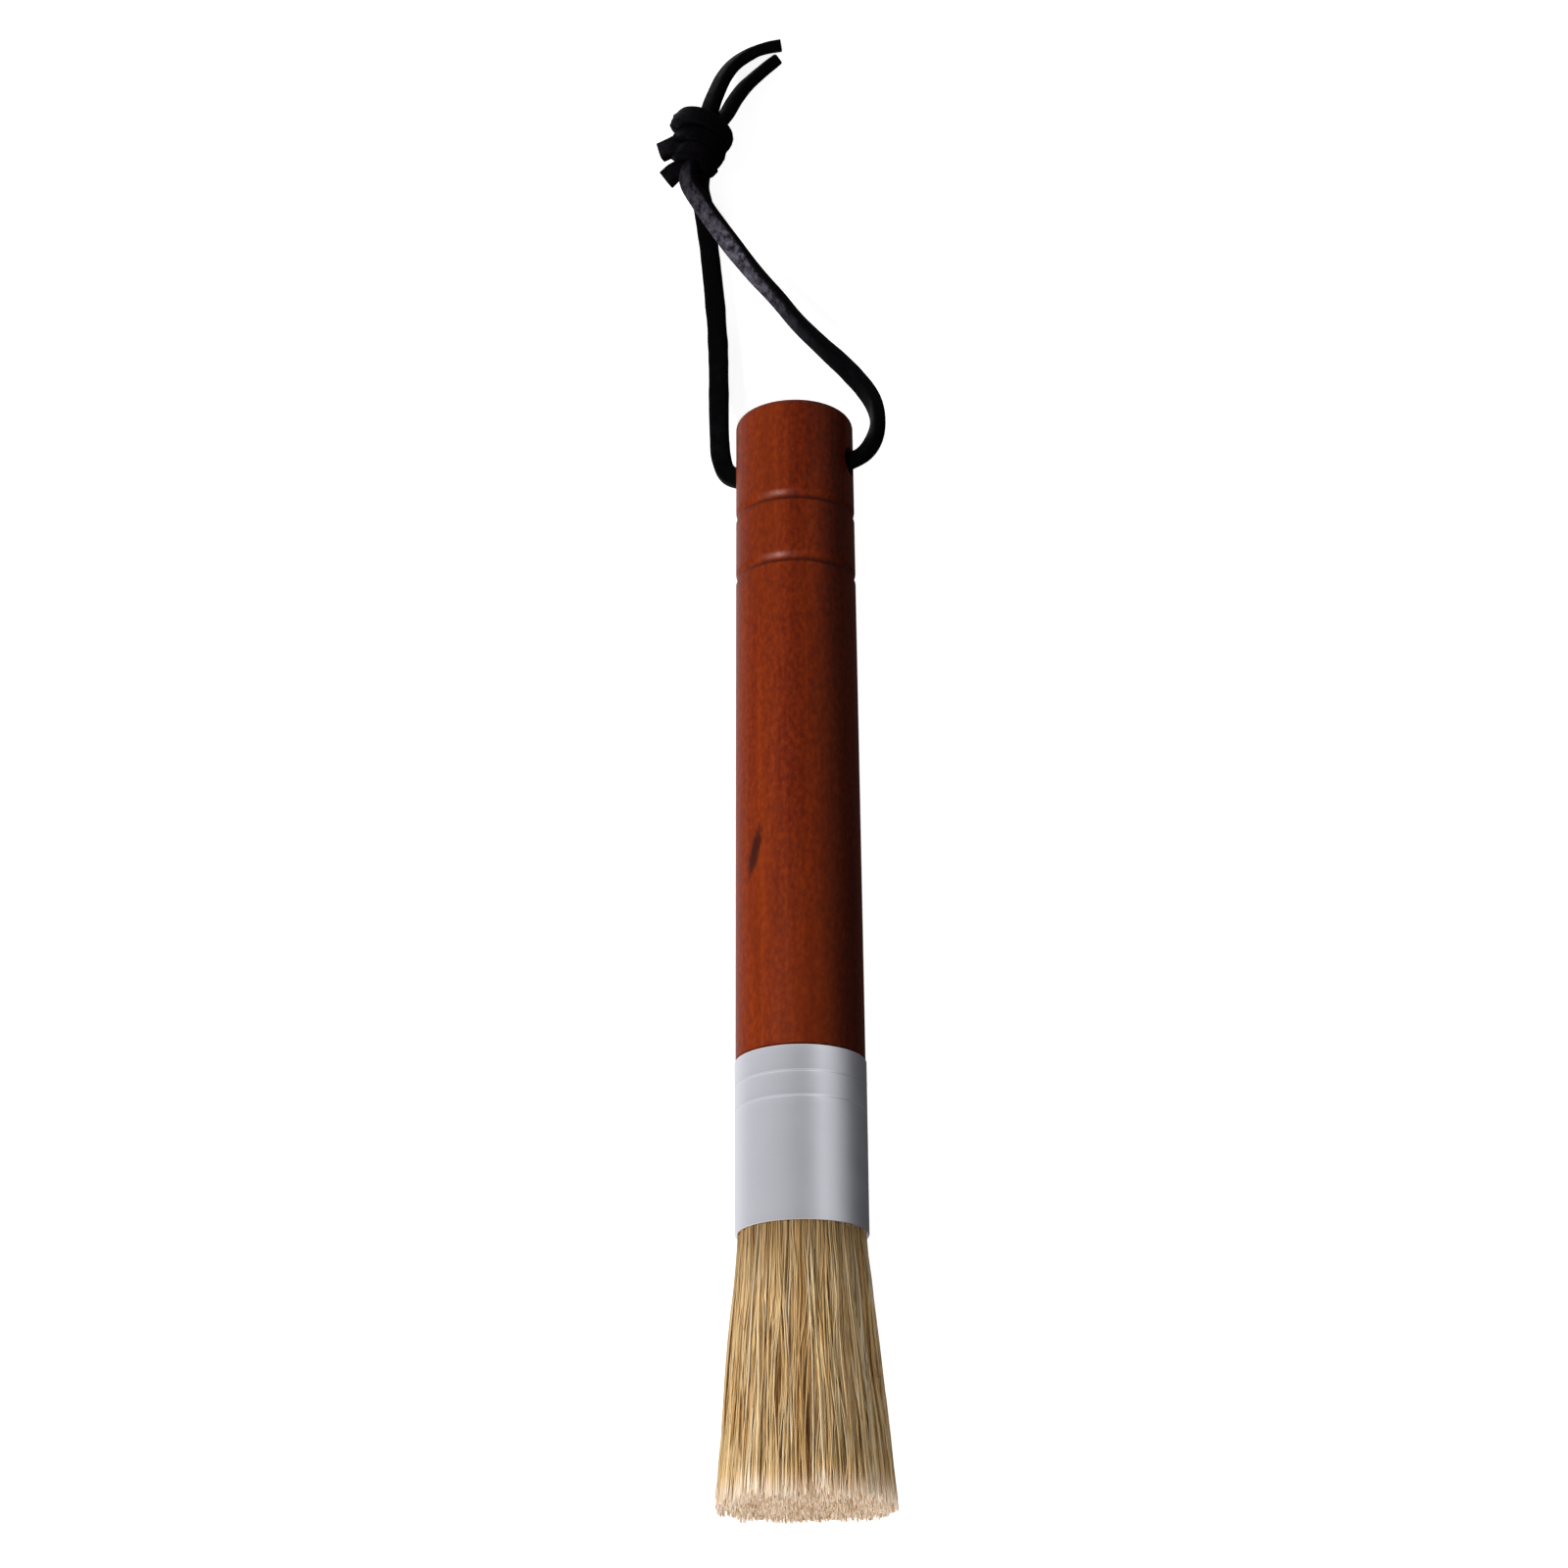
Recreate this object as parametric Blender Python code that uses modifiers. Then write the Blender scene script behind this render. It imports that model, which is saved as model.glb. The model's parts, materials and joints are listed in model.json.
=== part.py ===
"""A round pastry brush that lies on a flat surface, with a leather hanging lace through its handle.

The brush's axis is along Y, with the bristle tips towards -Y and the handle's end towards +Y.
Z = 0 is the surface that the brush lies on, and the origin is at the middle of the brush's underside.
All sizes are in metres.
"""

import math

import bmesh
import bpy
from mathutils import Matrix, Vector
from mathutils.geometry import interpolate_bezier

MM = 0.001

# Driving dimensions
BRUSH_LENGTH = 180 * MM
HANDLE_SHOWN = 111 * MM  # from the handle's end to the ferrule
FERRULE_LENGTH = 27.5 * MM
FERRULE_RADIUS = 10.2 * MM
FERRULE_WALL = 0.4 * MM
TUFT_TIP_RADIUS = 13.72 * MM
HANDLE_END_RADIUS = 9.7 * MM
HANDLE_SHOULDER_RADIUS = 10.05 * MM
TENON_LENGTH = 12 * MM
RESIN_LENGTH = 5 * MM
LACE_DIAMETER = 3 * MM  # a round tube of the section of the flat lace, 3.3 by 2.2 mm
TAIL_DIAMETER = 2.6 * MM
HOLE_RADIUS = 2.1 * MM
HOLE_FROM_END = 8.6 * MM
HOLE_ROLL = math.radians(16)  # the hole's +X mouth is turned up by this much
GAP = 0.3 * MM  # between pieces that touch

# Places that follow from them
AXIS_Z = FERRULE_RADIUS  # the ferrule rests on the surface
HANDLE_END_Y = BRUSH_LENGTH / 2
SHOULDER_Y = HANDLE_END_Y - HANDLE_SHOWN
MOUTH_Y = SHOULDER_Y - FERRULE_LENGTH
TIP_Y = -BRUSH_LENGTH / 2
TENON_END_Y = SHOULDER_Y - TENON_LENGTH
RESIN_END_Y = TENON_END_Y - GAP - RESIN_LENGTH
TENON_RADIUS = FERRULE_RADIUS - FERRULE_WALL - GAP
HOLE_CENTRE = Vector((0, HANDLE_END_Y - HOLE_FROM_END, AXIS_Z))
HOLE_AXIS = Vector((math.cos(HOLE_ROLL), 0, math.sin(HOLE_ROLL)))

END_ROUND = 1.3 * MM
GROOVES_FROM_END = (18.7 * MM, 29.9 * MM)  # the lower edge of each turned groove
GROOVE_WIDTH = 2.2 * MM
GROOVE_DEPTH = 0.4 * MM
CRIMPS_FROM_BACK = (4.4 * MM, 8.3 * MM)  # fine rings rolled into the ferrule
CRIMP_WIDTH = 0.5 * MM
CRIMP_DEPTH = 0.1 * MM
TURN_STEPS = 64

KNOT_CENTRE = Vector((-16.3, 148.7, 4.8)) * MM
KNOT_HALF = Vector((5.0, 6.7, 4.8)) * MM
KNOT_TURN = math.radians(8)

# The lace's route from the knot along its left strand, through the hole and back along its right strand.
LEFT_STRAND = (
    (-16.5, 141.5, 2.4),
    (-15.7, 137.2, 1.8),
    (-15.1, 132.3, 1.6),
    (-14.5, 126.5, 1.6),
    (-13.8, 118.7, 1.6),
    (-13.3, 110.8, 1.8),
    (-13.1, 102.8, 2.5),
    (-13.0, 95.5, 3.7),
    (-12.8, 90.2, 4.9),
    (-12.4, 86.0, 6.0),
    (-11.3, 82.9, 6.7),
)
RIGHT_STRAND = (
    (11.8, 82.6, 13.7),
    (13.5, 85.7, 13.7),
    (13.9, 89.8, 13.1),
    (12.6, 94.4, 11.7),
    (9.1, 100.3, 9.8),
    (4.9, 105.9, 8.0),
    (0.7, 111.6, 6.4),
    (-2.8, 117.1, 5.3),
    (-6.6, 122.3, 4.8),
    (-9.9, 127.1, 4.8),
    (-13.1, 131.8, 5.4),
    (-15.9, 136.2, 6.0),
    (-18.2, 141.0, 6.4),
)
STRAIGHT_IN_HOLE = (-9.3, -8.0, -4.0, 0, 4.0, 8.0, 9.3)  # along the hole's axis
TAIL_LONG = (
    (-14.4, 156.2, 5.0),
    (-13.3, 160.1, 4.4),
    (-12.0, 163.9, 3.4),
    (-10.1, 167.2, 2.4),
    (-7.0, 169.7, 1.7),
    (-4.4, 170.8, 1.5),
    (-2.0, 171.2, 1.5),
)
TAIL_SHORT = (
    (-11.6, 155.0, 4.8),
    (-10.2, 158.2, 4.2),
    (-8.4, 161.5, 3.4),
    (-6.4, 164.2, 2.6),
    (-4.6, 166.3, 2.0),
    (-2.9, 168.0, 1.7),
)

WOOD = ("lacquered_wood", (0.30, 0.05, 0.012), 0.32, 0.0)
METAL = ("satin_aluminium", (0.62, 0.62, 0.64), 0.36, 1.0)
RESIN = ("cast_resin", (0.42, 0.30, 0.14), 0.35, 0.0)
BRISTLE = ("natural_bristle", (0.55, 0.38, 0.20), 0.6, 0.0)
LEATHER = ("black_leather", (0.012, 0.010, 0.012), 0.45, 0.0)


def new_collection(name):
    collection = bpy.data.collections.new(name)
    bpy.context.scene.collection.children.link(collection)
    return collection


def material(name, colour, roughness, metallic):
    made = bpy.data.materials.new(name)
    made.use_nodes = True
    shader = made.node_tree.nodes["Principled BSDF"]
    shader.inputs["Base Color"].default_value = (*colour, 1)
    shader.inputs["Roughness"].default_value = roughness
    shader.inputs["Metallic"].default_value = metallic
    return made


def add_object(name, data, collection, look=None):
    made = bpy.data.objects.new(name, data)
    collection.objects.link(made)
    if look:
        data.materials.append(material(*look))
    return made


def arc(centre, radius, start, end, steps):
    """Points of a round corner, as (radius, height) pairs, from the start angle to the end angle in degrees."""
    angles = [math.radians(start + (end - start) * i / steps) for i in range(steps + 1)]
    return [(centre[0] + radius * math.cos(a), centre[1] + radius * math.sin(a)) for a in angles]


def turned(name, profile, look, closed=False):
    """A turned piece on the brush's axis. The profile's points are (radius, y), from the handle's end down."""
    mesh = bpy.data.meshes.new(name)
    edges = [(i, i + 1) for i in range(len(profile) - 1)]
    if closed:
        edges.append((len(profile) - 1, 0))
    mesh.from_pydata([(r, 0, y) for r, y in profile], edges, [])
    made = add_object(name, mesh, parts, look)
    made.location = (0, 0, AXIS_Z)
    made.rotation_euler = (-math.pi / 2, 0, 0)  # the profile's height runs along +Y
    screw = made.modifiers.new("Turn", "SCREW")
    screw.axis = "Z"
    screw.steps = TURN_STEPS
    screw.render_steps = TURN_STEPS
    screw.use_merge_vertices = True
    screw.merge_threshold = 0.00001
    screw.use_smooth_shade = True
    return made


def as_cutter(cutter):
    cutter.hide_render = True
    cutter.display_type = "WIRE"
    return cutter


def combine(target, tool, operation):
    boolean = target.modifiers.new(operation.title(), "BOOLEAN")
    boolean.operation = operation
    boolean.solver = "EXACT"
    boolean.object = tool


def handle_radius(y):
    """The handle swells gently from its end to the ferrule, most of it in its first third."""
    along = (HANDLE_END_Y - y) / HANDLE_SHOWN
    swell = HANDLE_SHOULDER_RADIUS - HANDLE_END_RADIUS
    return HANDLE_END_RADIUS + swell * (0.55 * math.sin(math.pi / 2 * along) + 0.45 * along**2)


def groove(lower_y):
    """A turned groove with a long upper slope and a short lower wall."""
    shape = ((GROOVE_WIDTH, 0), (0.55 * GROOVE_WIDTH, 0.55), (0.2 * GROOVE_WIDTH, 1), (0, 0))
    return [(handle_radius(lower_y + up) - GROOVE_DEPTH * deep, lower_y + up) for up, deep in shape]


def make_handle():
    corner = (handle_radius(HANDLE_END_Y - END_ROUND) - END_ROUND, HANDLE_END_Y - END_ROUND)
    profile = [(0, HANDLE_END_Y)]
    profile += arc(corner, END_ROUND, 90, 0, 5)
    for from_end in GROOVES_FROM_END:
        profile += groove(HANDLE_END_Y - from_end)
    lowest_groove = HANDLE_END_Y - GROOVES_FROM_END[-1]
    for i in range(1, 7):
        y = lowest_groove + (SHOULDER_Y - lowest_groove) * i / 6
        profile.append((handle_radius(y), y))
    profile += [
        (TENON_RADIUS, SHOULDER_Y),
        (TENON_RADIUS, TENON_END_Y + MM),
        (TENON_RADIUS - MM, TENON_END_Y),
        (0, TENON_END_Y),
    ]
    handle = turned("handle", profile, WOOD)
    combine(handle, make_bore(), "DIFFERENCE")


def make_bore():
    mesh = bpy.data.meshes.new("lace_bore")
    shape = bmesh.new()
    bmesh.ops.create_cone(
        shape, cap_ends=True, segments=24, radius1=HOLE_RADIUS, radius2=HOLE_RADIUS, depth=30 * MM
    )
    shape.to_mesh(mesh)
    shape.free()
    bore = as_cutter(add_object("lace_bore", mesh, cutters))
    bore.location = HOLE_CENTRE
    bore.rotation_euler = (0, math.pi / 2 - HOLE_ROLL, 0)
    return bore


def make_ferrule():
    back = SHOULDER_Y - GAP
    inner = FERRULE_RADIUS - FERRULE_WALL
    edge = 0.15 * MM
    profile = [(FERRULE_RADIUS - edge, back), (FERRULE_RADIUS, back - edge)]
    for from_back in CRIMPS_FROM_BACK:
        middle = SHOULDER_Y - from_back
        profile += [
            (FERRULE_RADIUS, middle + CRIMP_WIDTH / 2),
            (FERRULE_RADIUS - CRIMP_DEPTH, middle),
            (FERRULE_RADIUS, middle - CRIMP_WIDTH / 2),
        ]
    profile += [
        (FERRULE_RADIUS, MOUTH_Y + edge),
        (FERRULE_RADIUS - edge, MOUTH_Y),
        (inner, MOUTH_Y),
        (inner, back),
    ]
    turned("ferrule", profile, METAL, closed=True)


def make_resin_plug():
    top = TENON_END_Y - GAP
    profile = [(0, top), (TENON_RADIUS, top), (TENON_RADIUS, RESIN_END_Y), (0, RESIN_END_Y)]
    turned("resin_plug", profile, RESIN)


def tuft_radius(y):
    """The bundle flares out from the ferrule's mouth, and a little less towards its tip."""
    t = (MOUTH_Y - y) / (MOUTH_Y - TIP_Y)
    return TENON_RADIUS + (TUFT_TIP_RADIUS - TENON_RADIUS) * (1.22 * t - 0.22 * t**3)


def make_tuft():
    top = RESIN_END_Y - GAP
    tip_round = 1.2 * MM
    shown = MOUTH_Y - TIP_Y - tip_round
    profile = [(0, top), (TENON_RADIUS, top)]
    for i in range(9):
        y = MOUTH_Y - shown * i / 8
        profile.append((tuft_radius(y), y))
    corner = (tuft_radius(TIP_Y + tip_round) - tip_round, TIP_Y + tip_round)
    profile += arc(corner, tip_round, 0, -90, 4)[1:]
    profile.append((0, TIP_Y))
    tuft = turned("bristle_tuft", profile, BRISTLE)
    combine(tuft, make_ground(), "DIFFERENCE")


def make_ground():
    """The block under the resting surface. The bristles spread flat on it."""
    mesh = bpy.data.meshes.new("resting_surface")
    size = Vector((60, 80, 20)) * MM
    shape = bmesh.new()
    bmesh.ops.create_cube(shape, size=1, matrix=Matrix.Diagonal((*size, 1)))
    shape.to_mesh(mesh)
    shape.free()
    ground = as_cutter(add_object("resting_surface", mesh, cutters))
    ground.location = (0, TIP_Y, -size.z / 2)
    return ground


def smooth_points(route, count):
    """Evenly spaced points on a smooth curve through the route's own points."""
    points = [Vector(p) for p in route]
    tangents = []
    for i in range(len(points)):
        before, after = points[max(i - 1, 0)], points[min(i + 1, len(points) - 1)]
        tangents.append((after - before).normalized())
    fine = [points[0]]
    for i in range(len(points) - 1):
        reach = (points[i + 1] - points[i]).length / 3
        out, back = points[i] + tangents[i] * reach, points[i + 1] - tangents[i + 1] * reach
        fine += interpolate_bezier(points[i], out, back, points[i + 1], 24)[1:]
    lengths = [0.0]
    for a, b in zip(fine, fine[1:]):
        lengths.append(lengths[-1] + (b - a).length)
    spaced = []
    k = 0
    for i in range(count):
        wanted = lengths[-1] * i / (count - 1)
        while k < len(fine) - 2 and lengths[k + 1] < wanted:
            k += 1
        share = (wanted - lengths[k]) / (lengths[k + 1] - lengths[k])
        spaced.append(fine[k].lerp(fine[k + 1], min(share, 1)))
    return spaced


def make_cord(name, route, diameter, count):
    """A round tube along the route, placed from the hole's centre, which the lace swings on."""
    curve = bpy.data.curves.new(name, "CURVE")
    curve.dimensions = "3D"
    curve.bevel_depth = diameter / 2
    curve.bevel_resolution = 2
    curve.use_fill_caps = True
    spline = curve.splines.new("POLY")
    spline.points.add(count - 1)
    for point, place in zip(spline.points, smooth_points(route, count)):
        point.co = (*(place - HOLE_CENTRE), 1)
    cord = add_object(name, curve, parts, LEATHER)
    cord.parent = pivot


def in_metres(points):
    return [Vector(p) * MM for p in points]


def make_lace():
    in_hole = [HOLE_CENTRE + HOLE_AXIS * along * MM for along in STRAIGHT_IN_HOLE]
    loop = in_metres(LEFT_STRAND) + in_hole + in_metres(RIGHT_STRAND)
    make_cord("lace_loop", loop, LACE_DIAMETER, 78)
    make_cord("lace_tail_long", in_metres(TAIL_LONG), TAIL_DIAMETER, 14)
    make_cord("lace_tail_short", in_metres(TAIL_SHORT), TAIL_DIAMETER, 12)


def make_stub(name, place, turn, tilt):
    """A short square-cut end of the binding lace, which starts inside the knot."""
    mesh = bpy.data.meshes.new(name)
    shape = bmesh.new()
    bmesh.ops.create_cube(shape, size=1, matrix=Matrix.Diagonal((7 * MM, 3.2 * MM, 2.2 * MM, 1)))
    shape.to_mesh(mesh)
    shape.free()
    stub = as_cutter(add_object(name, mesh, cutters))
    stub.parent = pivot
    stub.location = Vector(place) * MM - HOLE_CENTRE
    stub.rotation_euler = (0, tilt, turn)
    return stub


def make_knot():
    mesh = bpy.data.meshes.new("knot_binding")
    shape = bmesh.new()
    bmesh.ops.create_uvsphere(
        shape, u_segments=24, v_segments=14, radius=1, matrix=Matrix.Diagonal((*KNOT_HALF, 1))
    )
    shape.to_mesh(mesh)
    shape.free()
    knot = add_object("knot_binding", mesh, parts, LEATHER)
    knot.parent = pivot
    knot.location = KNOT_CENTRE - HOLE_CENTRE
    knot.rotation_euler = (0, 0, KNOT_TURN)
    combine(knot, make_stub("stub_upper", (-20.7, 148.2, 4.9), math.radians(8), math.radians(-12)), "UNION")
    combine(knot, make_stub("stub_lower", (-19.3, 145.1, 3.6), math.radians(24), math.radians(-15)), "UNION")


for old in list(bpy.data.objects):
    bpy.data.objects.remove(old, do_unlink=True)
parts = new_collection("pastry_brush")
cutters = new_collection("cutters")
pivot = add_object("lanyard_pivot", None, parts)
pivot.location = HOLE_CENTRE

make_handle()
make_ferrule()
make_resin_plug()
make_tuft()
make_lace()
make_knot()
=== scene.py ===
"""A round pastry brush that lies on a pale floor: its finished surfaces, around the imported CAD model."""

import json
import math

import bpy
import numpy as np
from mathutils import Matrix, Vector
from mathutils.geometry import interpolate_bezier


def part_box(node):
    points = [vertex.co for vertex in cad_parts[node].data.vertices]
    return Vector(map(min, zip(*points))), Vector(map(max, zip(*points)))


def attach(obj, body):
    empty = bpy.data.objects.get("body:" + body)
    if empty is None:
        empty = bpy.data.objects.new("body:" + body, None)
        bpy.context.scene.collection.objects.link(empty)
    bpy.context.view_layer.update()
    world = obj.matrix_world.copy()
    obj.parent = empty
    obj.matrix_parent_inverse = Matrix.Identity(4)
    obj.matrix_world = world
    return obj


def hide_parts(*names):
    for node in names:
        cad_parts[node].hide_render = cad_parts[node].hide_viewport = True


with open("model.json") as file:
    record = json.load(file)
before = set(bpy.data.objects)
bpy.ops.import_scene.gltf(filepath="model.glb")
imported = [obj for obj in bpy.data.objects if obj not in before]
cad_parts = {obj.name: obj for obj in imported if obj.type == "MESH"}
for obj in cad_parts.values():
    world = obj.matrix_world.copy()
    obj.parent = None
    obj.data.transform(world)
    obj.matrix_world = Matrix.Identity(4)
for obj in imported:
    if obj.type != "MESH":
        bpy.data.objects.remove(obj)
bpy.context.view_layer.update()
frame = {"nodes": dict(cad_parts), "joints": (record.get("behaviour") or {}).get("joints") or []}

MM = 0.001

# Places and sizes read from the frame
handle_low, handle_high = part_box("handle")
ferrule_low, ferrule_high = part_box("ferrule")
tuft_low, tuft_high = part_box("bristle_tuft")
swing = frame["joints"][0]
AXIS_Z = (ferrule_low.z + ferrule_high.z) / 2
FERRULE_RADIUS = (ferrule_high.x - ferrule_low.x) / 2
TIP_RADIUS = (tuft_high.x - tuft_low.x) / 2
END_Y = handle_high.y
SHOULDER_Y = ferrule_high.y + 0.3 * MM
MOUTH_Y = ferrule_low.y
TIP_Y = tuft_low.y
TENON_END_Y = handle_low.y
HOLE_CENTRE = Vector(swing["pos_m"])
HOLE_AXIS = Vector(swing["axis"]).normalized()

# The view, worked out from the outline and the rings on the brush
VIEW_TARGET = Vector((-2.2, 25.3, 10.2)) * MM
VIEW_ELEVATION = math.radians(67.8)
VIEW_AZIMUTH = math.radians(5.5)
VIEW_ROLL = math.radians(-6.4)
VIEW_DISTANCE = 0.525
LENS, SENSOR = 75.5, 36.0

# Handle
HANDLE_END_RADIUS, HANDLE_SHOULDER_RADIUS = 9.7 * MM, 10.05 * MM
END_ROUND = 1.3 * MM
TENON_RADIUS = 9.5 * MM
GROOVES_FROM_END = (18.7 * MM, 29.9 * MM)
GROOVE_WIDTH, GROOVE_DEPTH = 2.2 * MM, 0.4 * MM
HOLE_RADIUS = 2.1 * MM
TURN_SIDES = 192

# Ferrule
FERRULE_WALL = 0.4 * MM
CRIMPS_FROM_BACK = (4.4 * MM, 8.3 * MM)
CRIMP_WIDTH, CRIMP_DEPTH = 0.45 * MM, 0.10 * MM

# Lace
LACE_WIDTH, LACE_THICKNESS = 3.3 * MM, 2.2 * MM
LACE_SIDES = 24
LACE_STEP = 0.4 * MM

# The route of the lace's two halves, from the hole's middle to the cut ends, in millimetres. The strands
# run as in the CAD model. The tails' ends lie a little higher, so that the flat lace stays off the floor.
IN_HOLE = (0, 4.0, 8.0, 9.3)
LEFT_STRAND = (
    (-11.3, 82.9, 6.7),
    (-12.4, 86.0, 6.0),
    (-12.8, 90.2, 4.9),
    (-13.0, 95.5, 3.7),
    (-13.1, 102.8, 2.5),
    (-13.3, 110.8, 1.8),
    (-13.8, 118.7, 1.6),
    (-14.5, 126.5, 1.6),
    (-15.1, 132.3, 1.6),
    (-15.7, 137.2, 1.8),
    (-16.5, 141.5, 2.4),
)
LEFT_IN_KNOT = ((-16.1, 145.0, 3.0), (-15.5, 149.0, 3.7), (-14.9, 153.0, 4.6))
TAIL_LONG = (
    (-14.4, 156.2, 5.0),
    (-13.3, 160.1, 4.4),
    (-12.0, 163.9, 3.4),
    (-10.1, 167.2, 2.4),
    (-7.0, 169.5, 2.2),
    (-4.4, 170.5, 2.1),
    (-2.0, 170.9, 2.1),
)
RIGHT_STRAND = (
    (11.8, 82.6, 13.7),
    (13.5, 85.7, 13.7),
    (13.9, 89.8, 13.1),
    (12.6, 94.4, 11.7),
    (9.1, 100.3, 9.8),
    (4.9, 105.9, 8.0),
    (0.7, 111.6, 6.4),
    (-2.8, 117.1, 5.3),
    (-6.6, 122.3, 4.8),
    (-9.9, 127.1, 4.8),
    (-13.1, 131.8, 5.4),
    (-15.9, 136.2, 6.0),
    (-18.2, 141.0, 6.4),
)
RIGHT_IN_KNOT = ((-17.0, 145.2, 6.4), (-15.0, 149.2, 6.2), (-12.9, 152.6, 5.5))
TAIL_SHORT = (
    (-11.6, 155.0, 4.8),
    (-10.2, 158.2, 4.2),
    (-8.4, 161.5, 3.4),
    (-6.4, 164.2, 2.6),
    (-4.6, 166.2, 2.2),
    (-2.9, 167.8, 2.1),
)

# How the flat lace is turned about its own line: (share of its length, degrees), 0 where it lies flat
LEFT_ROLLS = ((0, 0), (0.10, 0), (0.2, 8), (0.54, 8), (0.7, 25), (0.84, 46), (0.91, 48), (1, 62))
RIGHT_ROLLS = (
    (0, 20),
    (0.09, 40),
    (0.125, 48),
    (0.15, 62),
    (0.167, 78),
    (0.19, 72),
    (0.228, 60),
    (0.288, 50),
    (0.35, 74),
    (0.42, 78),
    (0.50, 76),
    (0.55, 62),
    (0.584, 46),
    (0.7, 50),
    (0.915, 50),
    (1, 60),
)

# How strongly a painted sheen pales the lace's upper face: (share of its length, strength)
LEFT_PAINTED_SHEEN = ((0, 0), (1, 0.05))
RIGHT_PAINTED_SHEEN = ((0, 0), (0.33, 0), (0.42, 0.35), (0.5, 0.8), (0.60, 0.75), (0.72, 0.4), (0.76, 0), (1, 0))
BINDING_PAINTED_SHEEN = ((0, 0.22), (0.10, 0.05), (0.2, 0.30), (0.33, 0.0), (0.92, 0.0), (1, 0.15))

# The binding lace, wound round an axis through the two halves. Its cut ends stand out on the left.
KNOT_LOW, KNOT_HIGH = Vector((-17.3, 144.9, 4.5)) * MM, Vector((-15.3, 152.4, 5.0)) * MM
KNOT_LENGTH = 8.0  # what the winding counts from KNOT_LOW to KNOT_HIGH, half of it on each side of 0
KNOT_LEAN = math.radians(14)  # the knot's axis leans from +Y towards +X
TURN_ACROSS_LOW, TURN_ACROSS_HIGH, TURN_UP = 2.6 * MM, 4.1 * MM, 3.5 * MM
KNOT_STEPS = 21  # eighths of a turn
UPPER_STUB = ((-23.2, 147.6, 4.6), (-20.4, 148.4, 5.6))
LOWER_STUB = ((-20.2, 144.6, 3.4), (-22.4, 143.3, 2.5))

# Bristles
BRISTLES = 8400
BRISTLE_PIECES = ("bristles_inner", "bristles_middle", "bristles_outer")
BRISTLE_RINGS = 10
BRISTLE_SIDES = 3
BRISTLE_RADIUS = 0.12 * MM
BRISTLE_GAP = 0.25 * MM  # between the outermost bristles' lines and the ferrule's inside
BRISTLE_BOW, BRISTLE_WAVE = 0.34 * MM, 0.21 * MM
BRISTLE_SHORT = 0.020  # how much shorter than the tuft a bristle is, as a share
LOCKS = 620
LOCK_LEAN, LOCK_SHORT = 0.042, 0.016  # as shares of the tip's radius and of the length
LOCK_SWAY = 0.30 * MM
TUFT_LEAN = 0.3 * MM  # the whole tuft leans a little to the right at its tip
FLOOR_LAYER = 0.9 * MM  # the bristles that lie on the floor are spread through this height
GOLDEN_TURN = math.pi * (3 - math.sqrt(5))  # spaces points evenly over a disc

# Studio
LIT_SHARE = 0.22  # how much of the surroundings' brightness lights the brush. Shiny surfaces show all of it
RIGHT_SHARE = 0.6  # on the right, only this share of that lights it
FLOOR_REACH = 3.0
BACKDROP_RADIUS, MIRRORED_RADIUS = 2.8, 2.6
BRISTLES_MIDDLE = Vector((0, -80, 10)) * MM

# Brightness of the surroundings about the brush's axis: degrees from straight up, positive to the right
STUDIO_ROUND = (
    (-180, 0.80),
    (-145, 0.80),
    (-100, 0.56),
    (-60, 0.50),
    (-30, 0.44),
    (0, 0.33),
    (20, 0.38),
    (38, 0.62),
    (60, 0.47),
    (75, 0.30),
    (95, 0.13),
    (115, 0.07),
    (180, 0.05),
)

rng = np.random.default_rng(7)


# ---------------------------------------------------------------- meshes


def tubes(name, rings, closed=False):
    """Tubes from rings of points, shaped (tube, ring, side, 3). closed joins the last ring to the first."""
    tube_count, ring_count, side_count = rings.shape[:3]
    index = np.arange(tube_count * ring_count * side_count).reshape(tube_count, ring_count, side_count)
    here = index if closed else index[:, :-1]
    there = np.roll(index, -1, axis=1) if closed else index[:, 1:]
    quads = np.stack([here, np.roll(here, -1, 2), np.roll(there, -1, 2), there], -1).reshape(-1, 4)
    corners, sizes = [quads.ravel()], [np.full(len(quads), 4)]
    if not closed:
        for caps in (index[:, 0, ::-1], index[:, -1]):
            corners.append(caps.ravel())
            sizes.append(np.full(len(caps), side_count))
    corners, sizes = np.concatenate(corners), np.concatenate(sizes)
    mesh = bpy.data.meshes.new(name)
    mesh.vertices.add(index.size)
    mesh.vertices.foreach_set("co", rings.astype(np.float32).ravel())
    mesh.loops.add(len(corners))
    mesh.loops.foreach_set("vertex_index", corners.astype(np.int32))
    mesh.polygons.add(len(sizes))
    mesh.polygons.foreach_set("loop_start", (np.cumsum(sizes) - sizes).astype(np.int32))
    mesh.update(calc_edges=True)
    mesh.validate()
    return mesh


def add_piece(name, mesh, sharp=math.radians(35)):
    mesh.shade_smooth()
    mesh.set_sharp_from_angle(angle=sharp)
    piece = bpy.data.objects.new(name, mesh)
    bpy.context.scene.collection.objects.link(piece)
    return piece


def finish_piece(piece, body, nodes, look):
    piece.data.materials.clear()
    piece.data.materials.append(look)
    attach(piece, body)
    if nodes:
        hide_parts(*nodes)


def arc(centre, radius, start, end, steps):
    """Points of a round corner, as (radius, y) pairs, from the start angle to the end angle in degrees."""
    angles = [math.radians(start + (end - start) * i / steps) for i in range(steps + 1)]
    return [(centre[0] + radius * math.cos(a), centre[1] + radius * math.sin(a)) for a in angles]


def spread(profile, step):
    """The profile with more points on its long stretches, no further apart than step."""
    fine = [profile[0]]
    for (r0, y0), (r1, y1) in zip(profile, profile[1:]):
        count = max(1, math.ceil(math.hypot(r1 - r0, y1 - y0) / step))
        fine += [(r0 + (r1 - r0) * i / count, y0 + (y1 - y0) * i / count) for i in range(1, count + 1)]
    return fine


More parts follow.
